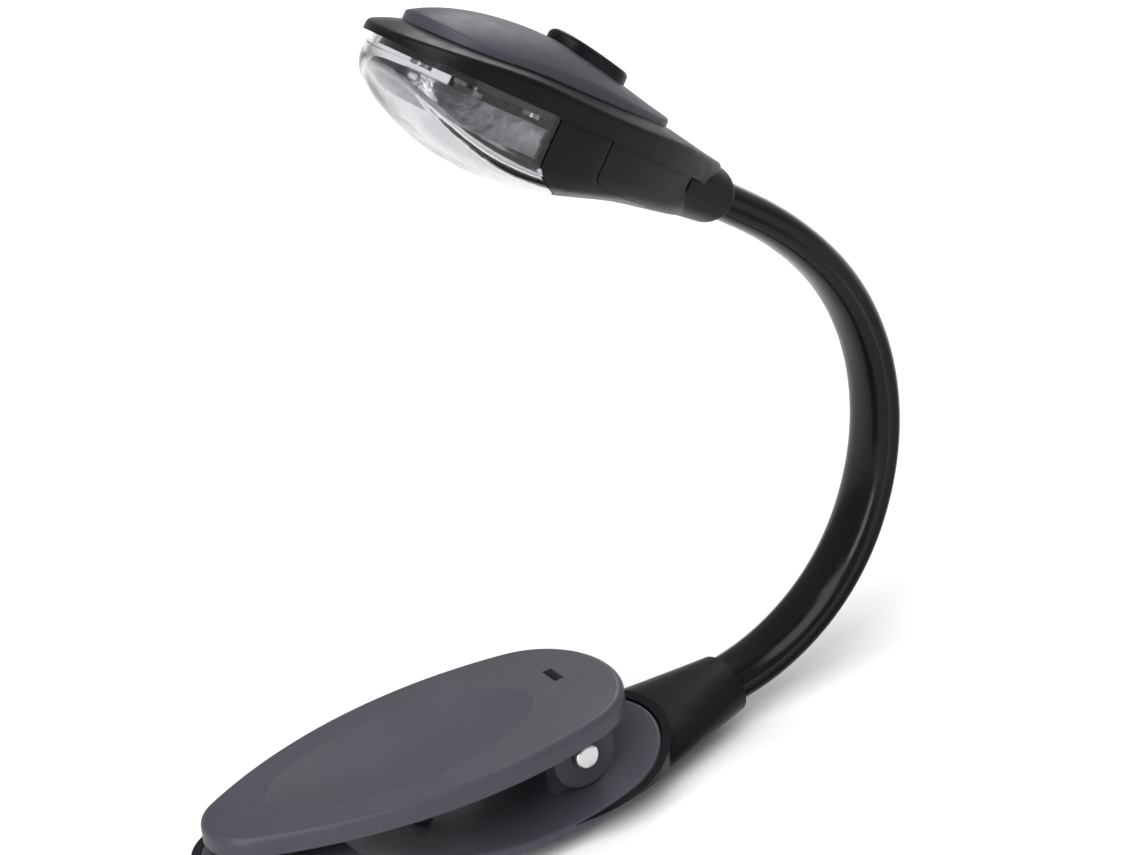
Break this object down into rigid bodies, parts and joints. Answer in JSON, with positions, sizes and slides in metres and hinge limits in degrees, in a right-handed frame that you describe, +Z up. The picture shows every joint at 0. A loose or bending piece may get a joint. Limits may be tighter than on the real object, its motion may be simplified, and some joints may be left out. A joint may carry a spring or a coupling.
{
  "type": "clip-on reading lamp",
  "caption": "Spring-clip reading lamp with a bendable neck, a teardrop finger paddle and a small domed head with a clear bulging lens and push button.",
  "frame": {"origin": "middle of the lower jaw pad's top face, where the page rests", "axes": "+X from the jaw tips towards the hinge and the neck socket, +Z up out of the lower pad, XZ is the symmetry plane"},
  "size_m": [0.1212, 0.0302, 0.121],
  "materials": {
    "black_plastic": "satin moulded",
    "slate_plastic": "fine satin",
    "neck_rubber": "glossy",
    "neck_wire": "drawn",
    "steel": "polished",
    "chrome": "mirror bright",
    "clear_lens": "clear moulded",
    "led_epoxy": "translucent",
    "board_green": "solder mask",
    "brass": "plated",
    "pad_rubber": "soft matt"
  },
  "bodies": {
    "base": {"lower_jaw": "slate_plastic", "lower_pad": "pad_rubber", "base_shell": "black_plastic", "base_screws": "steel", "hinge_pin": "steel", "pin_nut": "steel", "torsion_spring": "steel", "neck_sleeve_0": "neck_rubber", "neck_core_0": "neck_wire"},
    "upper_jaw": {"upper_jaw": "slate_plastic", "upper_pad": "pad_rubber"},
    "neck_1": {"neck_sleeve_1": "neck_rubber", "neck_core_1": "neck_wire"},
    "neck_2": {"neck_sleeve_2": "neck_rubber", "neck_core_2": "neck_wire"},
    "neck_3": {"neck_sleeve_3": "neck_rubber", "neck_core_3": "neck_wire"},
    "neck_4": {"neck_sleeve_4": "neck_rubber", "neck_core_4": "neck_wire"},
    "neck_5": {"neck_sleeve_5": "neck_rubber", "neck_core_5": "neck_wire"},
    "neck_6": {"neck_sleeve_6": "neck_rubber", "neck_core_6": "neck_wire"},
    "head": {"neck_sleeve_7": "neck_rubber", "neck_core_7": "neck_wire", "head_shell": "black_plastic", "dome_cover": "slate_plastic", "switch_housing": "black_plastic", "circuit_board": "board_green", "board_screws": "steel", "board_chips": "black_plastic", "led_bulb": "led_epoxy", "led_leads": "steel", "reflector": "chrome", "lens": "clear_lens", "coin_cell": "steel", "cell_holder": "black_plastic", "contact_plus": "brass", "contact_minus": "brass"},
    "button": {"switch_button": "black_plastic"},
    "door": {"battery_door": "black_plastic"}
  },
  "joints": [
    {"name": "jaw_hinge", "type": "hinge", "parent": "base", "child": "upper_jaw", "pos_m": [0.0473, 0, -0.0025], "axis": [0, 1, 0], "range_deg": [0, 28], "stiffness_Nm_per_rad": 0.12, "springref_deg": -20.05, "deforming": ["torsion_spring"]},
    {"name": "neck_bend_1", "type": "hinge", "parent": "base", "child": "neck_1", "pos_m": [0.079, 0, -0.00627], "axis": [0, 1, 0], "range_deg": [-10, 15], "deforming": ["neck_sleeve_1"]},
    {"name": "neck_bend_2", "type": "hinge", "parent": "neck_1", "child": "neck_2", "pos_m": [0.0935, 0, -0.00068], "axis": [0, 1, 0], "range_deg": [-10, 25], "deforming": ["neck_sleeve_2"]},
    {"name": "neck_swing_3", "type": "hinge", "parent": "neck_2", "child": "neck_3", "pos_m": [0.10385, 0, 0.01089], "axis": [-0.8838, 0, 0.4678], "range_deg": [-30, 30], "deforming": ["neck_sleeve_3"]},
    {"name": "neck_bend_4", "type": "hinge", "parent": "neck_3", "child": "neck_4", "pos_m": [0.10825, 0, 0.02583], "axis": [0, 1, 0], "range_deg": [-12, 25], "deforming": ["neck_sleeve_4"]},
    {"name": "neck_bend_5", "type": "hinge", "parent": "neck_4", "child": "neck_5", "pos_m": [0.10658, 0, 0.04133], "axis": [0, 1, 0], "range_deg": [-12, 25], "deforming": ["neck_sleeve_5"]},
    {"name": "neck_swing_6", "type": "hinge", "parent": "neck_5", "child": "neck_6", "pos_m": [0.09922, 0, 0.05506], "axis": [-0.7752, 0, -0.6318], "range_deg": [-30, 30], "deforming": ["neck_sleeve_6"]},
    {"name": "neck_bend_7", "type": "hinge", "parent": "neck_6", "child": "head", "pos_m": [0.08788, 0, 0.06583], "axis": [0, 1, 0], "range_deg": [-10, 25], "deforming": ["neck_sleeve_7"]},
    {"name": "button_press", "type": "slide", "parent": "head", "child": "button", "axis": [-0.5909, 0, -0.8068], "range_m": [0, 0.0008], "stiffness_N_per_m": 600, "springref_m": -0.0008},
    {"name": "door_lift", "type": "slide", "parent": "head", "child": "door", "axis": [-0.5909, 0, -0.8068], "range_m": [0, 0.012]}
  ]
}
